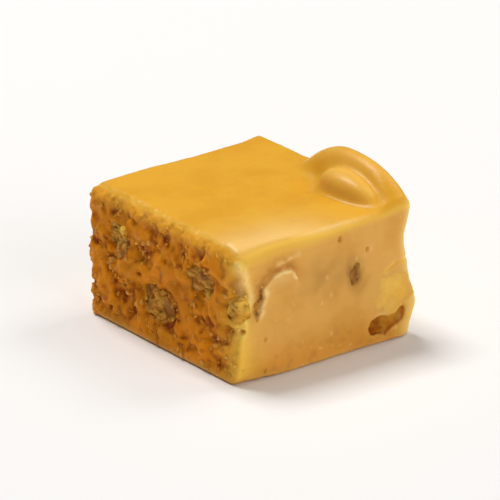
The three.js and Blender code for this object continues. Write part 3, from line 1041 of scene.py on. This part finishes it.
def crumb_tree():
    """Geometry Nodes that scatter small broken crumbs where the fudge is painted for them."""
    tree = bpy.data.node_groups.new("scatter_crumbs", "GeometryNodeTree")
    sockets = (
        ("Geometry", "NodeSocketGeometry", None),
        ("Crumbs per m2", "NodeSocketFloat", 1.0),
        ("Crumb Size", "NodeSocketFloat", 0.0004),
        ("Seed", "NodeSocketInt", 0),
        ("Material", "NodeSocketMaterial", None),
    )
    for label, kind, default in sockets:
        socket = tree.interface.new_socket(label, in_out="INPUT", socket_type=kind)
        if default is not None:
            socket.default_value = default
    tree.interface.new_socket("Geometry", in_out="OUTPUT", socket_type="NodeSocketGeometry")
    nodes = Nodes(tree)
    given = nodes.add("NodeGroupInput").outputs
    mask = nodes.add("GeometryNodeInputNamedAttribute", {"Name": "crumb"}, data_type="FLOAT")
    density = nodes.maths("MULTIPLY", mask.outputs["Attribute"], given["Crumbs per m2"])
    inputs = {"Mesh": given["Geometry"], "Density": density, "Seed": given["Seed"]}
    points = nodes.add("GeometryNodeDistributePointsOnFaces", inputs)
    sides = {"Vertices X": 3, "Vertices Y": 3, "Vertices Z": 3}
    block = nodes.add("GeometryNodeMeshCube", sides)
    place = nodes.add("GeometryNodeInputPosition").outputs[0]
    outward = nodes.add("ShaderNodeVectorMath", {0: place}, operation="NORMALIZE").outputs[0]
    lumps = nodes.add("ShaderNodeTexNoise", {"Vector": outward, "Scale": 1.1, "Detail": 2.0})
    swing = nodes.maths("MULTIPLY_ADD", lumps.outputs["Fac"], 2.2, -0.1)
    shaped = nodes.add("ShaderNodeVectorMath", {0: outward, "Scale": swing}, operation="SCALE")
    crumb = nodes.add(
        "GeometryNodeSetPosition",
        {"Geometry": block.outputs["Mesh"], "Position": shaped.outputs[0]},
    )
    draw = nodes.add("FunctionNodeRandomValue", {2: 0.5, 3: 1.0, "Seed": given["Seed"]})
    size = nodes.maths("MULTIPLY", nodes.maths("POWER", draw.outputs[1], 2.0), given["Crumb Size"])
    shape = nodes.add(
        "FunctionNodeRandomValue",
        {0: (0.8, 0.65, 0.5), 1: (1.2, 1.0, 0.8), "Seed": given["Seed"]},
        data_type="FLOAT_VECTOR",
    )
    inputs = {0: shape.outputs[0], "Scale": size}
    scale = nodes.add("ShaderNodeVectorMath", inputs, operation="SCALE")
    turns = nodes.add(
        "FunctionNodeRandomValue",
        {0: (0.0, 0.0, 0.0), 1: (6.28, 6.28, 6.28), "Seed": given["Seed"]},
        data_type="FLOAT_VECTOR",
    )
    placed = nodes.add(
        "GeometryNodeInstanceOnPoints",
        {
            "Points": points.outputs["Points"],
            "Instance": crumb.outputs[0],
            "Rotation": turns.outputs[0],
            "Scale": scale.outputs[0],
        },
    )
    toned = placed.outputs[0]
    for step, (label, low, high) in enumerate((("torn", 0.2, 1.0), ("dark_tone_and_shade", -0.8, 0.6))):
        inputs = {2: low, 3: high, "Seed": 30 + step}
        value = nodes.add("FunctionNodeRandomValue", inputs)
        inputs = {"Geometry": toned, "Name": label, "Value": value.outputs[1]}
        kept = nodes.add("GeometryNodeStoreNamedAttribute", inputs, domain="INSTANCE")
        toned = kept.outputs[0]
    solid = nodes.add("GeometryNodeRealizeInstances", {0: toned})
    inputs = {"Geometry": solid.outputs[0], "Material": given["Material"]}
    finished = nodes.add("GeometryNodeSetMaterial", inputs)
    result = nodes.add("NodeGroupOutput")
    tree.links.new(finished.outputs[0], result.inputs[0])
    return tree


FUDGE_CRUMBS = {"Crumbs per m2": 4000000.0, "Crumb Size": 0.00045, "Seed": 3}
NUT_CRUMBS = {"Crumbs per m2": 130000.0, "Crumb Size": 0.0007, "Seed": 8}


def build_crumbs(name, tree, fudge, material, slot, values):
    """Scatters crumbs on the fudge and keeps them as a piece of their own."""
    carrier = bpy.data.objects.new(name + "_carrier", fudge.data)
    bpy.context.scene.collection.objects.link(carrier)
    scatter = carrier.modifiers.new("scatter", "NODES")
    scatter.node_group = tree
    for item in tree.interface.items_tree:
        if item.in_out == "INPUT" and item.name in values:
            scatter[item.identifier] = values[item.name]
        if item.in_out == "INPUT" and item.name == "Material":
            scatter[item.identifier] = material
    bpy.context.view_layer.update()
    graph = bpy.context.evaluated_depsgraph_get()
    mesh = bpy.data.meshes.new_from_object(carrier.evaluated_get(graph))
    mesh.name = name
    bpy.data.objects.remove(carrier)
    return add_piece(name, mesh, slot)


# ---------------------------------------------------------------- floor, light and camera

LOOK_AT = Vector((0, 0, 0.0112))
AZIMUTH = -37.5
ELEVATION = 21.5
CAMERA_DISTANCE = 0.55
FRAME_WIDTH = 0.071  # what the camera sees across, at the piece
SENSOR_WIDTH = 36.0
NEAREST_SEEN = 0.01

FLOOR_REACH = 1.5  # from the piece to each edge of the floor
FLOOR_COLOUR = (0.88, 0.875, 0.87, 1)

LIGHT_DISTANCE = 1.2
WARM_WHITE = (1.0, 0.985, 0.96)
SOFT_WHITE = (1.0, 0.99, 0.975)
ROOM_STRENGTH = 0.15
# Each light's azimuth, elevation, size, power and tint.
LIGHTS = {
    "key": (-172, 66, 0.45, 11.6, WARM_WHITE),
    "fill_front": (10, 23, 0.9, 5.6, SOFT_WHITE),
    "fill_right": (85, 48, 0.5, 3.2, SOFT_WHITE),
}


def toward(azimuth, elevation):
    """Unit vector from the piece to something that stands round it."""
    a, e = math.radians(azimuth), math.radians(elevation)
    return Vector((math.sin(a) * math.cos(e), -math.cos(a) * math.cos(e), math.sin(e)))


def add_camera():
    lens = bpy.data.cameras.new("camera")
    camera = bpy.data.objects.new("camera", lens)
    bpy.context.scene.collection.objects.link(camera)
    back = toward(AZIMUTH, ELEVATION)
    camera.location = LOOK_AT + CAMERA_DISTANCE * back
    camera.rotation_euler = (-back).to_track_quat("-Z", "Y").to_euler()
    lens.sensor_width = SENSOR_WIDTH
    lens.lens = SENSOR_WIDTH * CAMERA_DISTANCE / FRAME_WIDTH
    lens.clip_start = NEAREST_SEEN
    bpy.context.scene.camera = camera


def add_floor():
    mesh = bpy.data.meshes.new("floor")
    half = FLOOR_REACH
    corners = [(-half, -half, 0), (half, -half, 0), (half, half, 0), (-half, half, 0)]
    mesh.from_pydata(corners, [], [(0, 1, 2, 3)])
    material, _, shader = new_material("pale_floor", 0.6, 0.0, 0.0, specular=0.2)
    shader.inputs["Base Color"].default_value = FLOOR_COLOUR
    mesh.materials.append(material)
    floor = bpy.data.objects.new("floor", mesh)
    bpy.context.scene.collection.objects.link(floor)


def add_light(name, azimuth, elevation, size, power, tint):
    light = bpy.data.lights.new(name, "AREA")
    light.size = size
    light.energy = power
    light.color = tint
    lamp = bpy.data.objects.new(name, light)
    bpy.context.scene.collection.objects.link(lamp)
    back = toward(azimuth, elevation)
    lamp.location = LOOK_AT + LIGHT_DISTANCE * back
    lamp.rotation_euler = (-back).to_track_quat("-Z", "Y").to_euler()


def add_lights():
    for name, settings in LIGHTS.items():
        add_light(name, *settings)
    world = bpy.data.worlds.new("soft_room")
    world.use_nodes = True
    sky = world.node_tree.nodes["Background"]
    sky.inputs["Color"].default_value = (*SOFT_WHITE, 1)
    sky.inputs["Strength"].default_value = ROOM_STRENGTH
    bpy.context.scene.world = world
    bpy.context.scene.view_settings.view_transform = "Standard"


def build_all():
    fudge_look = fudge_material()
    nut_looks = {
        "walnut": nut_material("walnut_kernel", KERNEL_PALE, KERNEL_OLIVE, NUT_SKIN),
        "walnut_skin": nut_material("walnut_skin", NUT_SKIN, DUSKY_NUT, NUT_SKIN_DARK),
    }
    fudge = build_fudge(fudge_look)
    for node in WALNUTS:
        build_nut(node, nut_looks)
    tree = crumb_tree()
    build_crumbs("fudge_crumbs", tree, fudge, fudge_look, "fudge", FUDGE_CRUMBS)
    build_crumbs("nut_crumbs", tree, fudge, nut_looks["walnut"], "walnut", NUT_CRUMBS)


add_camera()
add_floor()
add_lights()
build_all()
